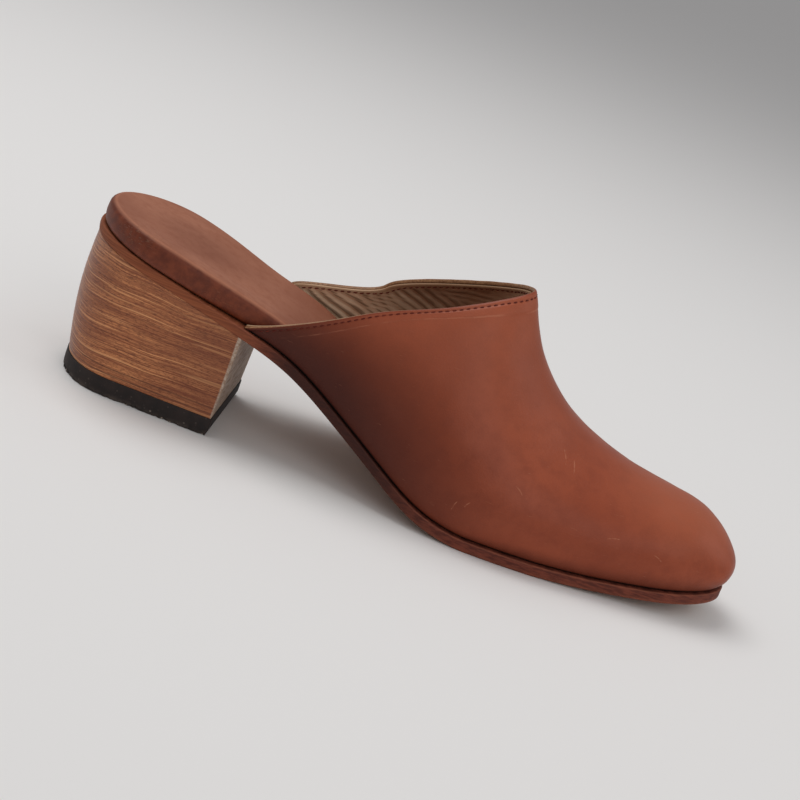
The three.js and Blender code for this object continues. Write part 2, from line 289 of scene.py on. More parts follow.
def fade(value, low, high):
    """Smooth step from 0 below low to 1 above high."""
    share = np.clip((value - low) / (high - low), 0, 1)
    return share * share * (3 - 2 * share)


# %% [markdown]
# ## Turning grids into meshes
# A piece is worked out as whole arrays of points. Faces are index arithmetic: on a grid every face joins a
# point, its neighbour, and the same two one row on. Points that fall together, at seams and at the tip of
# the toe, are merged afterwards, so that every shell is closed. Numbers that the materials need, such as
# the distance from the topline, travel with the points as attributes.

# %% Mesh makers


def grid_faces(rows, columns, start=0, wrap=False):
    """Corner numbers of the faces of a rows by columns grid; wrap joins the last column to the first."""
    row, column = np.meshgrid(np.arange(rows - 1), np.arange(columns if wrap else columns - 1), indexing="ij")
    after = (column + 1) % columns
    here, beside = row * columns + column, row * columns + after
    return np.stack([here, here + columns, beside + columns, beside], -1).reshape(-1, 4) + start


def make_mesh(name, points, faces, attributes=None, merge=1e-6):
    """Points in shoe millimetres and four-cornered faces to a smooth mesh object, with doubles merged and
    normals made to point outwards."""
    mesh = bpy.data.meshes.new(name)
    mesh.vertices.add(len(points))
    mesh.vertices.foreach_set("co", to_frame(points).ravel())
    mesh.loops.add(faces.size)
    mesh.loops.foreach_set("vertex_index", faces.ravel().astype(np.int32))
    mesh.polygons.add(len(faces))
    mesh.polygons.foreach_set("loop_start", np.arange(0, faces.size, 4, dtype=np.int32))
    mesh.update(calc_edges=True)
    for key, values in (attributes or {}).items():
        numbers = mesh.attributes.new(key, "FLOAT", "POINT").data
        numbers.foreach_set("value", np.ravel(values).astype(np.float32))
    work = bmesh.new()
    work.from_mesh(mesh)
    bmesh.ops.remove_doubles(work, verts=work.verts, dist=merge)
    bmesh.ops.dissolve_degenerate(work, edges=work.edges, dist=merge / 10)
    loose = [edge for edge in work.edges if not edge.link_faces]
    bmesh.ops.delete(work, geom=loose, context="EDGES")
    bmesh.ops.holes_fill(work, edges=[edge for edge in work.edges if edge.is_boundary], sides=0)
    bmesh.ops.recalc_face_normals(work, faces=work.faces)
    work.to_mesh(mesh)
    work.free()
    mesh.polygons.foreach_set("use_smooth", np.ones(len(mesh.polygons), bool))
    piece = bpy.data.objects.new(name, mesh)
    bpy.context.scene.collection.objects.link(piece)
    sides = np.zeros(len(mesh.loops), np.int32)
    mesh.loops.foreach_get("edge_index", sides)
    open_edges = int((np.bincount(sides, minlength=len(mesh.edges)) != 2).sum())
    print(f"{name}: {len(mesh.vertices)} points, {len(mesh.polygons)} faces, open edges {open_edges}")
    return piece


def shell(name, outside, inside, rim, attributes):
    """Closed wall from an outer and an inner grid that share their columns: the outer grid from the toe back
    to the rim, the rounded rim, and the inner grid forward to the toe, with strips that close both feather
    edges."""
    loop = np.concatenate([outside[::-1], rim, inside])
    rows, columns = loop.shape[:2]
    body = grid_faces(rows, columns)
    first, last = np.arange(rows // 2), rows - 1 - np.arange(rows // 2)
    strips = [
        np.stack([column + columns * corner for corner in (first[:-1], last[:-1], last[1:], first[1:])], -1)
        for column in (0, columns - 1)
    ]
    return make_mesh(name, loop.reshape(-1, 3), np.concatenate([body, *strips]), attributes)


def rounded_rim(outside, inside, roll, steps=5):
    """Half a turn from the outer to the inner edge of a wall: its middle, plus half its thickness times the
    cosine, plus the outward direction times roll times the sine."""
    middle, half = (outside[0] + inside[0]) / 2, (outside[0] - inside[0]) / 2
    out = unit(outside[0] - outside[1])
    turn = np.linspace(0, np.pi, steps + 2)[1:-1, None, None]
    return middle + half * np.cos(turn) + roll * out * np.sin(turn)


# %% [markdown]
# ## The outer leather
# One hide panel is wetted, drawn over the last and cemented under it. It is smooth, with a fine stitch
# groove under the topline, and a faint ridge below that where a reinforcing tape ends inside. We displace
# the last's own surface by those few tenths of a millimetre, then give it a wall of real thickness and a
# rounded cut edge.

# %% Outer leather of the upper
ROWS, COLUMNS = 210, 181
STITCH_DEPTH = 2.1
TAPE_DEPTH = 6.4
ROLL = 0.3

across = np.sin(np.linspace(-np.pi / 2, np.pi / 2, COLUMNS)) * 0.35 + np.linspace(-1, 1, COLUMNS) * 0.65
step = 0.02
straight_cut = upper_surface(np.zeros(COLUMNS), across)
drop = (upper_surface(np.full(COLUMNS, step), across) - straight_cut) / step
run = unit(np.gradient(straight_cut, axis=0))
drop -= (drop * run).sum(-1, keepdims=True) * run
first_order = topline_cut(across) / np.maximum(np.linalg.norm(drop, axis=-1), 8.0)
share = np.linspace(0, 1, ROWS)[:, None]
share = 0.35 * share + 0.65 * share**2
orders = first_order + (ARCHES["order"][-1] - first_order) * share
plain = upper_surface(orders, np.broadcast_to(across, orders.shape))
plain[-1] = plain[-1, COLUMNS // 2]
normals = grid_normals(plain)
normals[-1] = (1.0, 0.0, 0.0)
below_edge = path_length(plain, 0)
from_inner = path_length(plain, 1)
above_feather = np.minimum(from_inner, from_inner[:, -1:] - from_inner)

relief = -0.2 * bump_at(below_edge, STITCH_DEPTH, 0.45)
relief += 0.14 * bump_at(below_edge, 1.0, 0.7)
relief += 0.16 * (1 - fade(below_edge, TAPE_DEPTH - 0.4, TAPE_DEPTH + 0.4))
relief += 0.22 * undulation(plain, 34.0, 3) * fade(below_edge, 6, 25) * fade(above_feather, 3, 16)
relief += 0.06 * undulation(plain, 9.0, 4) * fade(above_feather, 2, 8)
relief *= fade(np.linspace(1, 0, ROWS)[:, None], 0, 0.03)
outer_face = plain + relief[..., None] * normals
seam_side = outer_face - LEATHER * normals
seam_side[:, [0, -1], 2] = outer_face[:, [0, -1], 2]
rim = rounded_rim(outer_face, seam_side, ROLL)
whole = lambda grid, middle: np.concatenate([grid[::-1], np.full((len(rim), COLUMNS), middle), grid])
upper_leather = shell(
    "upper_leather",
    outer_face,
    seam_side,
    rim,
    {
        "below_edge": whole(below_edge, 0.0),
        "above_feather": whole(above_feather, 30.0),
        "cut_face": np.concatenate([np.zeros((ROWS, COLUMNS)), np.ones((len(rim) + ROWS, COLUMNS))]),
    },
)

# %% [markdown]
# ## The lining
# A thin, soft leather lines the upper. It is glued in while the upper is pulled round the last, so it ends
# up in folds: short slanting pleats beside the footbed, long folds that sweep along the wall, and fine
# upright wrinkles near the throat. Each family is a wave of its own direction, let in where it belongs by a
# smooth step.

# %% Lining
along_edge = path_length(plain[:1], 1)[0]
edge_middle = float(along_edge[COLUMNS // 2])
from_crest = np.abs(along_edge - edge_middle)[None, :]
wobble = undulation(plain, 19.0, 11) * 0.8
forward, up = plain[..., 0], plain[..., 2]
pleats = np.sin((0.45 * forward + 0.88 * up + wobble * 0.9) * 2 * np.pi / 3.3)
folds = np.sin((0.97 * up - 0.22 * forward + wobble * 1.1) * 2 * np.pi / 2.9)
wrinkles = np.sin((from_crest * 1.0 + wobble * 1.2) * 2 * np.pi / 2.3)
by_footbed, by_throat = fade(from_crest, 54, 70), 1 - fade(from_crest, 30, 48)
crumple = (0.52 * pleats + 0.12 * wobble) * by_footbed
crumple += 0.26 * folds * (0.7 + 0.5 * wobble) * (1 - by_footbed) * (1 - by_throat)
crumple += 0.06 * wrinkles * by_throat + 0.08 * undulation(plain, 7.0, 12)
crumple *= fade(below_edge, 1.6, 4.5)
crumple -= 0.16 * bump_at(below_edge, STITCH_DEPTH, 0.4)
lining_back = plain - (LEATHER + 0.05) * normals
lining_face = plain - (LEATHER + LINING + 0.25 - crumple[..., None] * 0.9) * normals
lining_face[0] = plain[0] - (LEATHER + LINING) * normals[0]
for grid in (lining_back, lining_face):
    grid[:, [0, -1], 2] = plain[:, [0, -1], 2]
lining_rim = rounded_rim(lining_back, lining_face, 0.22)
lining = shell(
    "lining",
    lining_back,
    lining_face,
    lining_rim,
    {
        "below_edge": np.concatenate([below_edge[::-1], np.zeros((len(lining_rim), COLUMNS)), below_edge]),
        "crumple": np.concatenate([crumple[::-1], np.zeros((len(lining_rim), COLUMNS)), crumple]),
    },
)
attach(lining, "root")
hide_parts("upper")
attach(upper_leather, "root")

# %% [markdown]
# ## The stitches
# One row of lockstitch holds leather and lining together along the topline, so the same seam shows on both
# faces. A stitch is a short piece of thread that dips into its needle holes: a bent, tapering tube of a few
# dozen faces. We walk along the seam, set a stitch every few millimetres, and join the whole row into one
# mesh.

# %% Stitch rows
STITCH_PITCH, STITCH_LENGTH, THREAD = 2.4, 1.75, 0.26


def row_at_depth(face, depth):
    """The line on a face that lies at a given distance below the topline: in each column, the point between
    the two rows on either side of that distance."""
    after = (below_edge < depth).sum(0)
    columns = np.arange(COLUMNS)
    low, high = below_edge[after - 1, columns], below_edge[after, columns]
    mix = ((depth - low) / (high - low))[:, None]
    blend = lambda grid: grid[after - 1, columns] * (1 - mix) + grid[after, columns] * mix
    return blend(face), unit(blend(normals))


def stitch_row(name, line, outward, start, stop):
    """Stitches along a line. Each is a tube whose axis arches up between its two holes and whose radius
    shrinks towards them."""
    walked = path_length(line, 0)
    centres = np.arange(start, walked[-1] - stop, STITCH_PITCH)
    at = lambda values, where: np.stack([np.interp(where, walked, values[:, k]) for k in range(3)], -1)
    middle, normal = at(line, centres), unit(at(outward, centres))
    ahead = unit(at(line, centres + 0.5) - at(line, centres - 0.5))
    beside = np.cross(normal, ahead)
    ahead = unit(ahead + 0.10 * beside)
    beside = np.cross(normal, ahead)
    along = np.linspace(-1, 1, 8)[None, :, None, None]
    turn = np.linspace(0, 2 * np.pi, 6, endpoint=False)[None, None, :, None]
    radius = THREAD * np.sqrt(np.clip(1 - along**4, 0.02, 1))
    spread = lambda vectors: vectors[:, None, None, :]
    points = spread(middle) + spread(ahead) * along * STITCH_LENGTH / 2
    points = points + spread(normal) * (0.22 * (1 - along**2) - 0.16 + radius * np.cos(turn))
    points = points + spread(beside) * radius * np.sin(turn)
    count, steps, sides = points.shape[:3]
    one = grid_faces(steps, sides, wrap=True)
    caps = np.array([[0, 1, 2, 3], [0, 3, 4, 5]])
    ends = np.concatenate([caps[:, ::-1], caps + (steps - 1) * sides])
    each = np.concatenate([one, ends])
    faces = (each[None] + (np.arange(count) * steps * sides)[:, None, None]).reshape(-1, 4)
    row = make_mesh(name, points.reshape(-1, 3), faces, merge=1e-7)
    print(name, "has", count, "stitches")
    return row


line, outward = row_at_depth(outer_face, STITCH_DEPTH)
outer_stitches = stitch_row("stitches_outside", line, outward, 4.0, 4.0)
line, outward = row_at_depth(lining_face, STITCH_DEPTH)
inner_stitches = stitch_row("stitches_inside", line, -outward, 5.2, 4.0)
for row in (outer_stitches, inner_stitches):
    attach(row, "root")

# %% [markdown]
# ## Slabs: footbed, outsole, heel and lift
# The other pieces are slabs cut to an outline. We stack rings that follow the outline at chosen heights,
# close the sides between them, and span the lowest and highest ring with a fine sheet, so that top and
# bottom can be dished. A ring is the inner edge from heel to toe followed by the outer edge back again.

# %% Slab helpers
EASING = 0.8


def stations(length, steps, closes=True):
    """Stations from the back, closer together where the outline turns: equal steps of angle mixed with equal
    steps of length."""
    share = np.linspace(0, 1, steps + 1)
    eased = (1 - np.cos((np.pi if closes else np.pi / 2) * share)) / (2 if closes else 1)
    return length * (EASING * eased + (1 - EASING) * share)


def plan_ring(along, out, closes=True):
    """Ring of plan points, moved outwards by out at right angles to the outline."""
    inner, outer = (np.stack([along, feather(along, side)], -1) for side in (-1, 1))
    ring = np.concatenate([inner, outer[::-1]])
    before, after = np.roll(ring, 1, 0), np.roll(ring, -1, 0)
    before[0], after[-1] = outer[1], inner[1]
    count = len(along)
    if closes:
        after[count - 1], before[count] = outer[-2], inner[-2]
    run = unit(after - before)
    move = np.stack([run[:, 1], -run[:, 0]], -1)
    if not closes:
        move[count - 1], move[count] = (0, -1), (0, 1)
    return ring + move * np.concatenate([out, out[::-1]])[:, None]


def heel_ring(steps, out):
    """D-shaped ring of the heel at the floor: a round back, straight sides and a straight breast."""
    share = stations(1.0, steps, closes=False)
    length = HEEL_BREAST - HEEL_RAKE + out
    back = np.clip(1 - share * length / HEEL_ROUND, 0, 1)
    wide = (HEEL_HALF_WIDTH + out) * np.sqrt(1 - back**SEAT_POWER)
    x = HEEL_RAKE - out + share * (length + out)
    return np.concatenate([np.stack([x, -wide], -1), np.stack([x, wide], -1)[::-1]])


def raise_ring(ring, height):
    """A plan ring lifted to its height."""
    return np.concatenate([ring, np.broadcast_to(height, len(ring))[:, None]], -1)


def slab(name, rings, across_steps, sink_low=None, sink_high=None):
    """Closed slab: rings joined into sides, with a straight front, and a sheet across the first and the last
    ring whose inner points may sink by sink(x, y, share) millimetres. The attribute level runs from 0 at the
    first ring to 1 at the last."""
    rings = np.stack(rings)
    half = rings.shape[1] // 2
    share = np.linspace(0, 1, across_steps)
    front = rings[:, half - 1, None] * (1 - share[:, None]) + rings[:, half, None] * share[:, None]
    walls = np.concatenate([rings[:, :half], front[:, 1:-1], rings[:, half:]], 1)
    levels, count = walls.shape[:2]
    faces = [grid_faces(levels, count, wrap=True)]
    points = [walls.reshape(-1, 3)]
    level = [np.repeat(np.linspace(0, 1, levels), count)]
    total = levels * count
    for end, ring, sink in ((0.0, rings[0], sink_low), (1.0, rings[-1], sink_high)):
        inner, outer = ring[:half], ring[half:][::-1]
        sheet = inner[:, None] * (1 - share[:, None]) + outer[:, None] * share[:, None]
        if sink is not None:
            sheet[..., 2] += sink(sheet[..., 0], sheet[..., 1], share[None, :])
        faces.append(grid_faces(half, across_steps, total))
        points.append(sheet.reshape(-1, 3))
        level.append(np.full(half * across_steps, end))
        total += half * across_steps
    level = {"level": np.concatenate(level)}
    return make_mesh(name, np.concatenate(points), np.concatenate(faces), level, merge=2e-6)


# %% [markdown]
# ## The footbed
# Board and soft padding under a leather cover. The cover is drawn round the edge, so the edge is generously
# rounded. The middle is dished in a flat-bottomed trough from the heel to near the toe.

# %% Footbed
FOOTBED_ROUND, FOOTBED_TUCK, FOOTBED_BULGE = 2.6, 1.1, 0.25
DISH, SOFTNESS = 1.1, 0.25
along = stations(SHOE_LENGTH, 230)


def footbed_ring(inset, height):
    """Ring of the footbed at an inset from its edge; height gives how far up, from its thickness."""
    ring = plan_ring(along, -footbed_inset(along) - inset)
    return raise_ring(ring, sole_top(ring[:, 0]) + GAP + height(footbed_thick(ring[:, 0])))


# The lower edge is drawn in under the board, the side bulges a little, and the upper edge is a quarter round.
footbed_rings = [
    footbed_ring(inset, lambda thick, lift=lift: lift + 0 * thick)
    for inset, lift in ((1.6, 0.0), (0.6, 0.25), (0.05, FOOTBED_TUCK))
]
footbed_rings += [
    footbed_ring(
        -FOOTBED_BULGE * math.sin(math.pi * part),
        lambda thick, part=part: FOOTBED_TUCK + (thick - FOOTBED_ROUND - FOOTBED_TUCK) * part,
    )
    for part in (0.25, 0.5, 0.75)
]
footbed_rings += [
    footbed_ring(
        FOOTBED_ROUND * (1 - math.cos(turn)),
        lambda thick, turn=turn: thick - FOOTBED_ROUND * (1 - math.sin(turn)),
    )
    for turn in np.linspace(0, np.pi / 2, 9)
]


def footbed_dish(x, y, share):
    """How far the footbed's cover sinks inside its edge: a flat-bottomed trough across the foot, plus a very
    soft unevenness of the padding."""
    across_dish = fade(np.minimum(share, 1 - share), 0.0, 0.3)
    ends = fade(x, 3, 26) * (1 - fade(x, 200, 236))
    soft = undulation(np.stack([x, y, 0 * x], -1), 40.0, 21)
    return -(DISH + SOFTNESS * soft) * across_dish * ends


footbed = slab("footbed", footbed_rings, 36, sink_high=footbed_dish)
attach(footbed, "root")
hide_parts("insole")

# %% [markdown]
# ## The outsole
# A single bend of sole leather, trimmed by a rotating cutter and left a little rough. Both edges are broken
# with a small bevel. We add a fine, seeded roughness to the trimmed edge only.

# %% Outsole
SOLE_BEVEL = 0.6


def sole_ring(inset, share):
    """Ring round the outsole at a share of its thickness, with the cutter's roughness on the middle of the
    edge."""
    ring = plan_ring(along, sole_ledge(along) - inset)
    points = raise_ring(ring, underside(ring[:, 0]) + share * sole_thick(ring[:, 0]))
    rough = 0.07 * undulation(points * (1, 1, 0.4), 3.5, 31) + 0.05 * undulation(points, 1.4, 32)
    outward = unit(points[:, :2] - np.stack([np.full(len(points), 120.0), np.zeros(len(points))], -1))
    points[:, :2] += outward * (rough * math.sin(math.pi * share))[:, None]
    return points


bevel = np.linspace(0, np.pi / 2, 5)
low_edge = [(SOLE_BEVEL * (1 - math.sin(b)), 0.15 * (1 - math.cos(b))) for b in bevel]
sides = [(0.0, s) for s in (0.3, 0.45, 0.6, 0.75)]
high_edge = [(SOLE_BEVEL * (1 - math.sin(b)), 1 - 0.12 * (1 - math.cos(b))) for b in bevel[::-1]]
outsole = slab("outsole_leather", [sole_ring(*place) for place in low_edge + sides + high_edge], 30)
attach(outsole, "root")
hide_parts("outsole")

# %% [markdown]
# ## The stacked heel and its rubber lift
# Heel lifts are discs of leather cemented into a block and turned down on a wheel. The layers show as fine
# streaks that run parallel to the floor, and the glue lines as shallow grooves. The rubber lift is cut from
# sheet: its lower edge has been dragged over pavements and is ragged.

# %% Heel block and top lift
LAYER = 4.2
HEEL_LEVELS = 110
TEETH, TOOTH_HEIGHT, TOP_LIFT_LIP = 0.8, 1.5, 0.3
heel_along = stations(HEEL_LENGTH, 90, closes=False)
low_ring = raise_ring(heel_ring(90, 0.0), TOP_LIFT)
high_plan = plan_ring(heel_along, sole_ledge(heel_along) - HEEL_INSET, closes=False)
high_ring = raise_ring(high_plan, underside(high_plan[:, 0]) - 0.02)


def heel_level(share):
    """Ring of the heel part of the way up: the straight blend of its lowest and highest ring, drawn in a
    little halfway, with shallow grooves where two layers meet and the fine ridges that the trimming wheel
    leaves."""
    ring = low_ring * (1 - share) + high_ring * share
    groove = 0.05 * bump_at(np.abs((ring[:, 2] / LAYER + 0.5) % 1 - 0.5) * LAYER, 0, 0.16)
    ridge = (0.018 * np.sin(ring[:, 2] * 5.3 + 1.5 * undulation(ring, 30.0, 41)) - groove) / HEEL_HALF_WIDTH
    halfway = math.sin(math.pi * share)
    ring[:, 0] = HEEL_BREAST + (ring[:, 0] - HEEL_BREAST) * (1 + HEEL_SWELL * halfway + ridge)
    ring[:, 1] *= 1 - HEEL_WAIST * halfway + ridge
    return ring


heel = slab("heel_stack", [heel_level(s) for s in np.linspace(0, 1, HEEL_LEVELS)], 24)
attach(heel, "root")
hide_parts("heel_block")


def lift_level(height, out, ragged):
    """Ring of the top lift. Near the floor its edge is bitten into by seeded teeth."""
    ring = raise_ring(heel_ring(260, out), height)
    walked = path_length(ring, 0)
    random = np.random.default_rng(51)
    bite = np.interp(walked, np.linspace(0, walked[-1], 190), random.uniform(0, 1, 190)) ** 2
    bite[-1] = bite[0]
    outward = unit(ring[:, :2] - (32.0, 0.0))
    ring[:, :2] -= outward * (ragged * TEETH * bite)[:, None]
    return ring


# Height above the floor, how far the ring stands out past the leather, and how ragged it is.
lift_places = [(0.0, 0.0, 1.6), (0.12, 0.2, 1.3), (0.6, TOP_LIFT_LIP, 1.0)]
lift_places += [(TOOTH_HEIGHT, TOP_LIFT_LIP, 0.35), (1.8, TOP_LIFT_LIP, 0.05)]
lift_places += [(height, TOP_LIFT_LIP, 0.0) for height in (3.0, 4.5, 5.9)]
lift_places += [(TOP_LIFT - 0.25, 0.25, 0.0), (TOP_LIFT, 0.0, 0.0)]
top_lift = slab("rubber_lift", [lift_level(*place) for place in lift_places], 20)
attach(top_lift, "root")
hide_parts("top_lift")

# %% [markdown]
# ## Writing materials as formulas
# A procedural material is arithmetic on noise. Node graphs are hard to read, so one small class wraps the
# output of a node and gives it Python's own signs: adding two of them adds a Math node. Places are in
# millimetres, so that the size of a blot or a scratch is written in millimetres too.

# %% Shader formulas


class Wire:
    """The output of a shader node, with Python arithmetic on it."""

    def __init__(self, tree, socket=None):
        self.tree, self.socket = tree, socket

    def node(self, kind, settings, inputs, output=0):
        """Any node: its settings are set first, then its inputs, each a plain value or another wire."""
        made = self.tree.nodes.new(kind)
        for key, value in settings.items():
            setattr(made, key, value)
        for place, value in inputs.items():
            if isinstance(value, Wire):
                self.tree.links.new(value.socket, made.inputs[place])
            else:
                made.inputs[place].default_value = value
        return Wire(self.tree, made.outputs[output])

    def math(self, operation, *others):
        """Math node on this wire and, where the operation needs them, on others."""
        return self.node("ShaderNodeMath", {"operation": operation}, dict(enumerate((self, *others))))

    def __add__(self, other):
        return self.math("ADD", other)

    def __sub__(self, other):
        return self.math("SUBTRACT", other)

    def __rsub__(self, other):
        return self * -1.0 + other

    def __mul__(self, other):
        return self.math("MULTIPLY", other)

    def __truediv__(self, other):
        return self.math("DIVIDE", other)

    def __rtruediv__(self, other):
        return self.math("POWER", -1.0) * other

    def __mod__(self, other):
        return self.math("FLOORED_MODULO", other)

    def __abs__(self):
        return self.math("ABSOLUTE")

    __radd__, __rmul__ = __add__, __mul__

    def lower(self, other):
        """The smaller of the two."""
        return self.math("MINIMUM", other)

    def higher(self, other):
        """The larger of the two."""
        return self.math("MAXIMUM", other)

    def fade(self, low, high):
        """Smooth step from 0 at low to 1 at high; high may be the smaller of the two."""
        settings = {"interpolation_type": "SMOOTHSTEP"}
        if low <= high:
            return self.node("ShaderNodeMapRange", settings, {0: self, 1: low, 2: high})
        return self.node("ShaderNodeMapRange", settings, {0: self, 1: high, 2: low, 3: 1.0, 4: 0.0})

    def blend(self, first, second):
        """The first colour where this wire is 0, the second where it is 1."""
        return self.node("ShaderNodeMix", {"data_type": "RGBA"}, {0: self, 6: first, 7: second}, 2)

    def vector(self, operation, *others):
        """Vector Math node on this wire and others."""
        return self.node("ShaderNodeVectorMath", {"operation": operation}, dict(enumerate((self, *others))))

    def noise(self, size, stretch=(1, 1, 1), seed=0, detail=3.0, rough=0.5):
        """Cloudy noise from 0 to 1 over this place: blots of a size in millimetres, drawn out by stretch."""
        grain = self.vector("MULTIPLY_ADD", [1 / (size * s) for s in stretch], (seed * 7.3, seed * 3.1, seed))
        inputs = {"Vector": grain, "Scale": 1.0, "Detail": detail, "Roughness": rough}
        return self.node("ShaderNodeTexNoise", {}, inputs)

    def cells(self, size, seed=0):
        """Distance field of packed cells, the size of a cell in millimetres."""
        grain = self.vector("MULTIPLY_ADD", [1 / size] * 3, (seed * 5.1, seed * 2.3, seed))
        return self.node("ShaderNodeTexVoronoi", {"feature": "F1"}, {"Vector": grain, "Scale": 1.0})

    def near(self, centre, size):
        """1 at a spot of the shoe and 0 beyond size millimetres from it; size may differ by axis."""
        spread = np.broadcast_to(np.array(size, float), 3)
        middle = to_frame(centre) / MM
        local = self.vector("MULTIPLY_ADD", list(1 / spread), list(-middle / spread))
        return self.node("ShaderNodeVectorMath", {"operation": "LENGTH"}, {0: local}, "Value").fade(1.0, 0.2)

    def part(self, axis):
        """One coordinate of a place."""
        return self.node("ShaderNodeSeparateXYZ", {}, {0: self}, axis)


def colour(red, green, blue):
    """A colour given as 0 to 255 screen values, turned into the linear light that a renderer works with."""
    share = np.array([red, green, blue]) / 255
    linear = np.where(share <= 0.04045, share / 12.92, ((share + 0.055) / 1.055) ** 2.4)
    return (*linear.tolist(), 1.0)


def start_material(name):
    """A new empty material. Gives its starting wire and the place on the piece in millimetres."""
    material = bpy.data.materials.new(name)
    material.use_nodes = True
    material.node_tree.nodes.clear()
    wire = Wire(material.node_tree)
    metres = wire.node("ShaderNodeTexCoord", {}, {}, "Object")
    return material, wire, metres.vector("MULTIPLY", [1 / MM] * 3)


def attribute(wire, name):
    """A number that travels with the points of a mesh."""
    return wire.node("ShaderNodeAttribute", {"attribute_name": name}, {}, "Fac")


def finish_material(material, wire, pieces, tone, roughness, height, **constants):
    """Joins colour, roughness and relief (in millimetres) to one surface and puts it on the pieces."""
    bump = wire.node("ShaderNodeBump", {}, {"Strength": 1.0, "Distance": MM, "Height": height})
    inputs = {"Base Color": tone, "Roughness": roughness, "Normal": bump}
    surface = wire.node("ShaderNodeBsdfPrincipled", {}, inputs | constants)
    output_surface(wire, surface)
    for piece in pieces:
        piece.data.materials.clear()
        piece.data.materials.append(material)
    print(material.name, "has", len(material.node_tree.nodes), "nodes")


def output_surface(wire, surface):
    """The node that hands the surface to the renderer."""
    end = wire.tree.nodes.new("ShaderNodeOutputMaterial")
    wire.tree.links.new(surface.socket, end.inputs["Surface"])


# %% [markdown]
# ## Waxy pull-up leather
# Pull-up leather is full of wax. Where it is stretched over the last, along the instep and the toe, the wax
# thins and the colour lightens; painted highlight lightens the top further, as if lit from above. The low
# wall at the waist and a band along the feather line are darkened as painted shade, the band partly burnish,
# and the groove at the feather line is painted near black as shade. A faint painted highlight runs along the
# ridge where the tape ends. We mix those from the distance to the feather line, the distance from the
# topline and the height, cloud them with slow noise, and add rubbed patches with fine scratches.

# %% Scratches on the upper, placed one by one
SCRATCHES = table(
    "at side up length slope",
    (169, -1, 27.5, 4.5, -35.0),
    (180, -1, 40.0, 5.0, -60.0),
    (184, -1, 38.0, 4.0, -68.0),
    (150, -1, 15.0, 4.0, 75.0),
    (154, -1, 17.0, 3.0, 60.0),
    (140, -1, 27.0, 1.5, 0.0),
    (205, -1, 22.0, 5.0, 12.0),
    (222, -1, 20.0, 4.0, -25.0),
    (112, 1, 46.0, 14.0, 82.0),
    (146, 1, 40.0, 9.0, 70.0),
    (168, 1, 30.0, 7.0, -50.0),
    (190, 1, 24.0, 8.0, 20.0),
    (214, 1, 20.0, 6.0, -15.0),
)
# Rubbed patches: the middle of each, how far it reaches along, across and up, and how worn it is.
RUBBED = (
    ((205, -36, 18), (34, 22, 12), 0.5),
    ((196, 30, 22), (40, 30, 14), 0.7),
    ((249, -8, 24), (10, 30, 14), 0.7),
    ((152, -42, 14), (12, 14, 8), 0.8),
    ((182, -20, 41), (12, 14, 8), 0.6),
    ((150, 34, 40), (26, 24, 20), 0.5),
)


def scratch(place, at, side, up, length, slope):
    """A thin line on one side of the shoe: near its own middle line, and not past its ends."""
    turn = math.radians(slope)
    x, z = place.part("X") + (MIDDLE_X - at), place.part("Z") - up
    lengthwise, sideways = x * math.cos(turn) + z * math.sin(turn), z * math.cos(turn) - x * math.sin(turn)
    bowed = sideways + lengthwise * lengthwise * (0.25 / length)
    ends = abs(lengthwise).fade(length / 2, length / 3)
    return abs(bowed).fade(0.26, 0.06) * ends * (place.part("Y") * side).fade(0.0, 6.0)


# %% Upper leather material
material, wire, place = start_material("pull_up_leather")
feather_mm, edge_mm, cut = (attribute(wire, key) for key in ("above_feather", "below_edge", "cut_face"))
clouds = place.noise(38.0, seed=1, detail=2.0)
mottle = place.noise(6.0, seed=2, detail=5.0, rough=0.62)
pores = place.noise(0.9, seed=3, detail=3.0, rough=0.6)
grain = place.cells(0.75, seed=4)
tone = clouds.fade(0.32, 0.68).blend(colour(143, 66, 41), colour(158, 77, 50))
tone = (mottle.fade(0.35, 0.75) * 0.5).blend(tone, colour(128, 57, 36))
# Lighter where the leather is stretched over the instep and toe, and painted highlight: higher up the wall
# and over the top of the toe the colour is lightened as if lit from above.
pull_up_and_highlight = place.part("Z").fade(20.0, 80.0) * 0.3 + place.near((228, -6, 36), (40, 45, 22)) * 0.4
tone = (pull_up_and_highlight * (mottle + 0.5)).lower(1.0).blend(tone, colour(176, 100, 71))
station = place.part("X") + MIDDLE_X
# Painted shade: the low wall at the waist, which faces down, is darkened towards a deep red-brown, and so is
# a band along the feather line where the upper tucks under, which is also partly burnish.
painted_waist_shade = feather_mm.fade(52.0, 4.0) * station.fade(190.0, 100.0) * 0.9
tone = painted_waist_shade.higher(feather_mm.fade(9.0, 0.0) * 0.6).blend(tone, colour(54, 13, 5))
# Painted shade: a near-black line along the feather line stands for the shadowed groove between upper and
# sole.
tone = feather_mm.fade(1.6, 0.3).blend(tone, colour(16, 7, 6))
scuffs = place.noise(1.1, stretch=(9, 1.6, 1), seed=5, detail=4.0, rough=0.7).fade(0.62, 0.72)
worn = place.near(*RUBBED[0][:2]) * RUBBED[0][2]
for centre, size, strength in RUBBED[1:]:
    worn = worn.higher(place.near(centre, size) * strength)
broken = place.noise(1.3, seed=8, detail=3.0).fade(0.36, 0.56)
marks = scuffs * worn
for row in zip(*SCRATCHES.values()):
    marks = marks.higher(scratch(place, *row) * broken)
fine = place.noise(0.35, stretch=(26, 3, 1), seed=6, detail=2.0).fade(0.68, 0.76)
fine = fine * mottle.fade(0.45, 0.62) * 0.2
tone = (marks * 0.34 + fine).lower(1.0).blend(tone, colour(204, 138, 106))
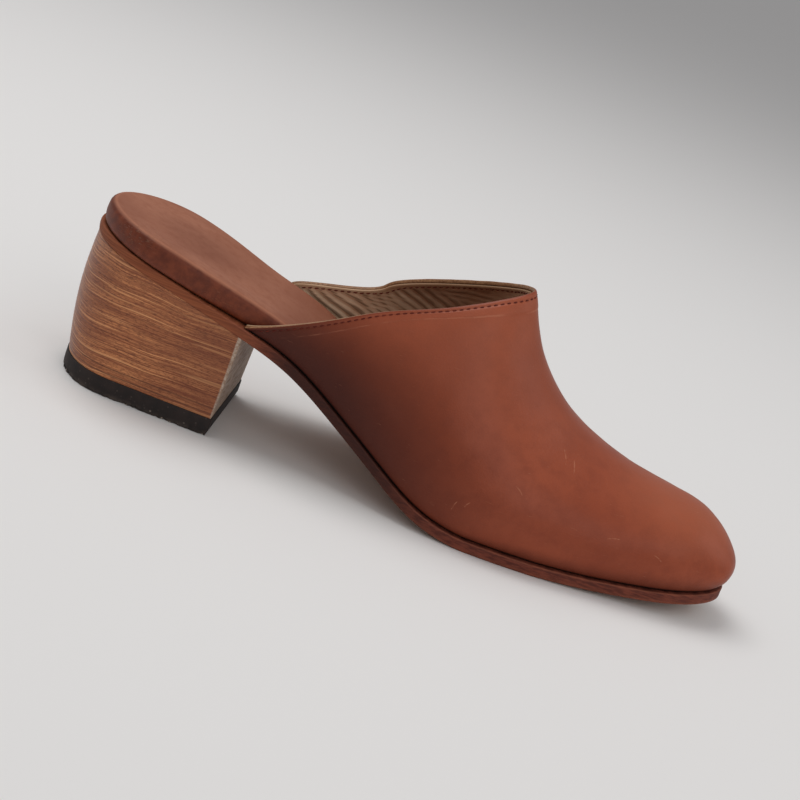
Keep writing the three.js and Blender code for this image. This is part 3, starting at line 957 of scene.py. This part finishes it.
# Painted highlight: a faint light line along the ridge where the tape ends inside.
tape_ridge_highlight = abs(edge_mm - (mottle * 1.2 + TAPE_DEPTH - 0.6)).fade(0.45, 0.1)
tape_ridge_highlight = tape_ridge_highlight * place.noise(14.0, seed=7).fade(0.42, 0.6)
tone = (tape_ridge_highlight * 0.35).blend(tone, colour(196, 124, 92))
tone = (edge_mm.fade(1.3, 0.2) * 0.5).blend(tone, colour(112, 48, 32))
tone = cut.blend(tone, (pores.fade(0.3, 0.7)).blend(colour(160, 118, 82), colour(122, 82, 54)))
roughness = 0.35 + mottle * 0.14 + marks * 0.2 + feather_mm.fade(6.0, 0.0) * 0.25
height = pores * 0.04 + grain * 0.04 + mottle * 0.06 - marks * 0.04
finish_material(material, wire, [upper_leather], tone, roughness, height, **{"Specular IOR Level": 0.22})

# %% [markdown]
# ## Lining leather
# The lining is thin, undyed leather that has gone olive and grubby. The tops of its folds are painted
# lighter as highlight and the valleys darker as shade, so the colour follows the same folds that shape the
# surface. Towards the toe, where the lining runs in under the vamp, it is painted darker as shade.

# %% Lining material
material, wire, place = start_material("lining_leather")
folds_mm, edge_mm = attribute(wire, "crumple"), attribute(wire, "below_edge")
mottle = place.noise(9.0, seed=11, detail=4.0)
station = place.part("X") + MIDDLE_X
pores = place.noise(0.7, seed=12)
tone = mottle.fade(0.3, 0.7).blend(colour(212, 174, 140), colour(230, 196, 162))
# Painted shade in the valleys of the folds and painted highlight on their tops.
tone = (folds_mm.fade(0.05, -0.4) * 0.7).blend(tone, colour(104, 72, 48))
tone = (folds_mm.fade(0.1, 0.4) * 0.6).blend(tone, colour(236, 208, 176))
# Painted shade: darker towards the toe, where the lining runs in under the vamp.
tone = (station.fade(92.0, 112.0) * 0.45).blend(tone, colour(128, 92, 66))
tone = (edge_mm.fade(3.2, 0.6) * 0.6).blend(tone, colour(150, 108, 70))
roughness = 0.55 + mottle * 0.15
finish_material(material, wire, [lining], tone, roughness, pores * 0.05 + mottle * 0.1)

# %% [markdown]
# ## Waxed thread
# Thread is a twist of strands, so across each stitch runs a fine slanting ripple. It is waxed and nearly
# black.

# %% Thread material
material, wire, place = start_material("waxed_thread")
ripple = (place.part("X") * 9.0 + place.part("Z") * 9.0).math("SINE")
tone = place.noise(3.0, seed=21).fade(0.3, 0.7).blend(colour(84, 26, 17), colour(112, 44, 30))
finish_material(
    material,
    wire,
    [outer_stitches, inner_stitches],
    tone,
    ripple * 0.05 + 0.6,
    ripple * 0.04,
    **{"Specular IOR Level": 0.2},
)

# %% [markdown]
# ## Footbed cover
# The same hide, left matt. The foot has pressed faint dark prints into it at the heel and the ball, and the
# rolled side is burnished darker and scuffed, with a few raised light fibres on the inner side of the heel.
# The side's darkening is partly painted shade, and its lowest band, tucked in over the sole, is painted near
# black as shade.

# %% Footbed material
material, wire, place = start_material("footbed_leather")
level = attribute(wire, "level")
clouds = place.noise(30.0, seed=31, detail=2.0)
mottle = place.noise(4.0, seed=32, detail=5.0, rough=0.65)
pores = place.noise(0.8, seed=33, detail=3.0)
tone = clouds.fade(0.3, 0.7).blend(colour(143, 87, 64), colour(160, 103, 78))
tone = (mottle.fade(0.4, 0.75) * 0.5).blend(tone, colour(134, 76, 53))
pressed = place.near((34, 0, 56), (26, 20, 30)).higher(place.near((150, 0, 8), (30, 32, 30)))
tone = (pressed * 0.35 * (mottle + 0.4)).blend(tone, colour(112, 62, 43))
# Painted shade, part burnish: the rolled side of the cover is darkened.
side = (level + mottle * 0.10).fade(0.88, 0.68)
tone = (level.fade(0.78, 0.86) * level.fade(1.0, 0.9) * 0.4).blend(tone, colour(176, 114, 86))
tone = side.blend(tone, mottle.fade(0.3, 0.7).blend(colour(92, 38, 20), colour(120, 56, 32)))
# Painted shade: the lowest band of the side, tucked in over the sole, goes near black.
tone = level.fade(0.14, 0.0).blend(tone, colour(24, 11, 8))
fibres = place.noise(0.5, stretch=(7, 2, 1), seed=34, detail=3.0, rough=0.7).fade(0.56, 0.66)
frayed = fibres * place.near((18, -24, 58), (13, 14, 7))
frayed = frayed + fibres * place.near((52, -29, 48), (14, 10, 5)) * 0.5
tone = (frayed * 0.35).lower(1.0).blend(tone, colour(176, 122, 90))
roughness = 0.62 + mottle * 0.15 - side * 0.16
height = pores * 0.06 + mottle * 0.10 + frayed * 0.15
finish_material(material, wire, [footbed], tone, roughness, height, **{"Specular IOR Level": 0.28})

# %% [markdown]
# ## Sole leather
# The trimmed edge is stained a dark red-brown and is a little hairy. The stain rubs off both corners, which
# read as two thin lighter lines. Along the shank the edge is darkened almost to black, part burnish and part
# painted shade. Underneath, the sole is bare tan leather, scraped grey where it meets the ground.

# %% Outsole material
material, wire, place = start_material("sole_leather")
level = attribute(wire, "level")
mottle = place.noise(5.0, seed=41, detail=5.0, rough=0.65)
fibre = place.noise(0.7, stretch=(6, 6, 1), seed=42, detail=4.0, rough=0.7)
station = place.part("X") + MIDDLE_X
seat = station.fade(84.0, 46.0)
stain = fibre.fade(0.35, 0.65).blend(colour(86, 38, 27), colour(124, 62, 45))
streak = place.noise(0.5, stretch=(60, 60, 1), seed=44, detail=3.0, rough=0.65)
stain = (seat * 0.95).blend(stain, streak.fade(0.3, 0.7).blend(colour(116, 58, 32), colour(150, 84, 50)))
lower_rim = level.fade(0.42, 0.3) * level.fade(0.0, 0.12) * 0.7
rim = (level.fade(0.66, 0.78) * level.fade(1.0, 0.9)).higher(lower_rim)
tone = (rim * (fibre + 0.3) * (1.0 - seat * 0.7) * 0.6).lower(1.0).blend(stain, colour(150, 86, 62))
# Painted shade, part burnish: along the shank, under the waist, the edge is darkened almost to black.
shank_shade_and_burnish = station.fade(62.0, 84.0) * station.fade(156.0, 116.0) * 0.85
tone = shank_shade_and_burnish.blend(tone, colour(44, 15, 8))
bare = mottle.fade(0.3, 0.7).blend(colour(158, 112, 78), colour(134, 92, 64))
scrape = place.noise(1.2, stretch=(10, 1, 1), seed=43, detail=4.0, rough=0.7).fade(0.5, 0.68)
ground = place.near((168, 0, 0), (42, 38, 9))
bare = (scrape * ground * 0.8 + ground * 0.3).lower(1.0).blend(bare, colour(86, 74, 66))
tone = level.fade(0.16, 0.02).blend(tone, bare)
roughness, height = 0.62 + fibre * 0.2, fibre * 0.12 + mottle * 0.05
finish_material(material, wire, [outsole], tone, roughness, height, **{"Specular IOR Level": 0.3})

# %% [markdown]
# ## Stacked leather
# Seen from the side the layers are long thin streaks, from golden tan to dark brown. Each layer has its own
# tone. The round back is handled and waxed most, so it is darker and shinier; the flat breast at the front
# is left pale.

# %% Heel material
material, wire, place = start_material("stacked_leather")
up = place.part("Z")
warped = up + place.noise(34.0, seed=51, detail=1.0) * 5.0
streak_place = wire.node("ShaderNodeCombineXYZ", {}, {0: place.part("X"), 1: place.part("Y"), 2: warped})
streaks = streak_place.noise(0.5, stretch=(50, 50, 1), seed=52, detail=4.0, rough=0.7)
broad = streak_place.noise(2.6, stretch=(16, 16, 1), seed=53, detail=2.0)
dashes = streak_place.noise(0.34, stretch=(5, 5, 1), seed=55, detail=3.0, rough=0.75)
gold = streak_place.noise(0.8, stretch=(60, 60, 1), seed=56, detail=1.0).fade(0.60, 0.68)
layer = (warped / LAYER).math("FLOOR")
shift = wire.node("ShaderNodeTexWhiteNoise", {"noise_dimensions": "1D"}, {"W": layer})
seam = abs(warped % LAYER - LAYER / 2).fade(LAYER / 2 - 0.25, LAYER / 2)
tone = streaks.fade(0.34, 0.66).blend(colour(122, 58, 29), colour(218, 144, 90))
tone = (broad.fade(0.40, 0.64) * 0.45).blend(tone, colour(122, 58, 30))
tone = (dashes.fade(0.48, 0.62) * 0.7).blend(tone, colour(88, 38, 20))
tone = (shift * 0.25).blend(tone, colour(150, 86, 52))
tone = (gold * 0.7).blend(tone, colour(226, 160, 106))
tone = (seam * 0.35).blend(tone, colour(70, 32, 18))
low_lines = abs(up - 8.2).fade(0.35, 0.12).higher(abs(up - 10.4).fade(0.3, 0.1))
tone = (low_lines * 0.6).blend(tone, colour(48, 22, 14))
station = place.part("X") + MIDDLE_X
# Painted shade: the sides darken towards the breast, under the shank.
front = station.fade(30.0, 60.0) * 0.45
tone = front.blend(tone, colour(104, 48, 27))
back = station.fade(22.0, 3.0)
tone = (back * 0.25).blend(tone, colour(120, 66, 42))
breast = station.fade(HEEL_BREAST - 0.6, HEEL_BREAST - 0.1)
drag = place.noise(0.8, stretch=(1, 9, 1), seed=54, detail=4.0, rough=0.7)
tone = (breast * 0.85).blend(tone, drag.fade(0.35, 0.65).blend(colour(196, 180, 164), colour(150, 124, 104)))
roughness = 0.42 - back * 0.10 + streaks * 0.12 + breast * 0.2
height = streaks * 0.05 - seam * 0.06
finish_material(material, wire, [heel], tone, roughness, height, **{"Specular IOR Level": 0.4})

# %% [markdown]
# ## Rubber
# Black rubber that has walked on stone: matt, dusty at the torn lower edge, with pale specks of grit
# pressed in.

# %% Lift material
material, wire, place = start_material("black_rubber")
up = place.part("Z")
dust = place.noise(5.0, seed=61, detail=4.0)
specks = place.cells(1.6, seed=62).fade(0.30, 0.12) * place.noise(3.0, seed=63).fade(0.46, 0.6)
torn = up.fade(2.4, 0.2)
tone = dust.fade(0.3, 0.7).blend(colour(28, 20, 18), colour(42, 31, 28))
tone = (torn * dust.fade(0.35, 0.6) * 0.5).blend(tone, colour(96, 84, 76))
tone = (specks * (torn * 0.9 + 0.08)).lower(1.0).blend(tone, colour(172, 158, 144))
height = dust * 0.08 + place.noise(0.8, seed=64) * 0.06
finish_material(material, wire, [top_lift], tone, 0.78 + dust * 0.1, height)

# %% [markdown]
# ## Floor, light and camera
# A pale seamless floor, one broad lamp above and a little behind the heel, and weaker ones that open up the
# shadows. The camera is also turned about its own line of sight, so the shoe seems to lean forward onto
# its toe. A long lens keeps the shoe's proportions true.

# %% Studio
bpy.ops.mesh.primitive_plane_add(size=60.0)
floor = bpy.context.object
floor.name = "floor"
material, wire, place = start_material("pale_paper")
paper = {"Base Color": colour(236, 234, 232), "Roughness": 0.9}
output_surface(wire, wire.node("ShaderNodeBsdfPrincipled", {}, paper))
floor.data.materials.append(material)

world = bpy.data.worlds.new("studio")
bpy.context.scene.world = world
world.use_nodes = True
world.node_tree.nodes["Background"].inputs["Color"].default_value = colour(246, 246, 248)
world.node_tree.nodes["Background"].inputs["Strength"].default_value = 0.36


def area_light(name, place, target, size, power):
    """A square lamp at a place in metres that faces a target."""
    lamp = bpy.data.lights.new(name, "AREA")
    lamp.size, lamp.energy = size, power
    holder = bpy.data.objects.new(name, lamp)
    holder.location = place
    holder.rotation_euler = (Vector(target) - Vector(place)).to_track_quat("-Z", "Y").to_euler()
    bpy.context.scene.collection.objects.link(holder)


SHOE = (0, 0, 0.03)
area_light("key", (-0.45, 0.25, 1.25), SHOE, 0.9, 8.5)
area_light("front", (0.55, -1.2, 0.8), SHOE, 1.0, 4.0)
area_light("toe_side", (1.1, 0.1, 0.8), SHOE, 0.8, 2.2)

AZIMUTH, ELEVATION, ROLL_ANGLE = (math.radians(angle) for angle in (0.9, 17.0, 21.0))
DISTANCE = 0.70
AIM = Vector((-0.0049, 0.0, 0.0289))
back = Vector((
    math.sin(AZIMUTH) * math.cos(ELEVATION),
    -math.cos(AZIMUTH) * math.cos(ELEVATION),
    math.sin(ELEVATION),
))
level_right = Vector((math.cos(AZIMUTH), math.sin(AZIMUTH), 0.0))
level_up = back.cross(level_right)
right = level_right * math.cos(ROLL_ANGLE) + level_up * math.sin(ROLL_ANGLE)
up = back.cross(right)
camera_data = bpy.data.cameras.new("camera")
camera_data.lens, camera_data.sensor_width = 88.0, 36.0
camera = bpy.data.objects.new("camera", camera_data)
axes = Matrix((right, up, back)).transposed().to_4x4()
camera.matrix_world = Matrix.Translation(AIM + back * DISTANCE) @ axes
bpy.context.scene.collection.objects.link(camera)
bpy.context.scene.camera = camera
bpy.context.scene.view_settings.view_transform = "Standard"
print("camera", [round(c, 4) for c in camera.location])
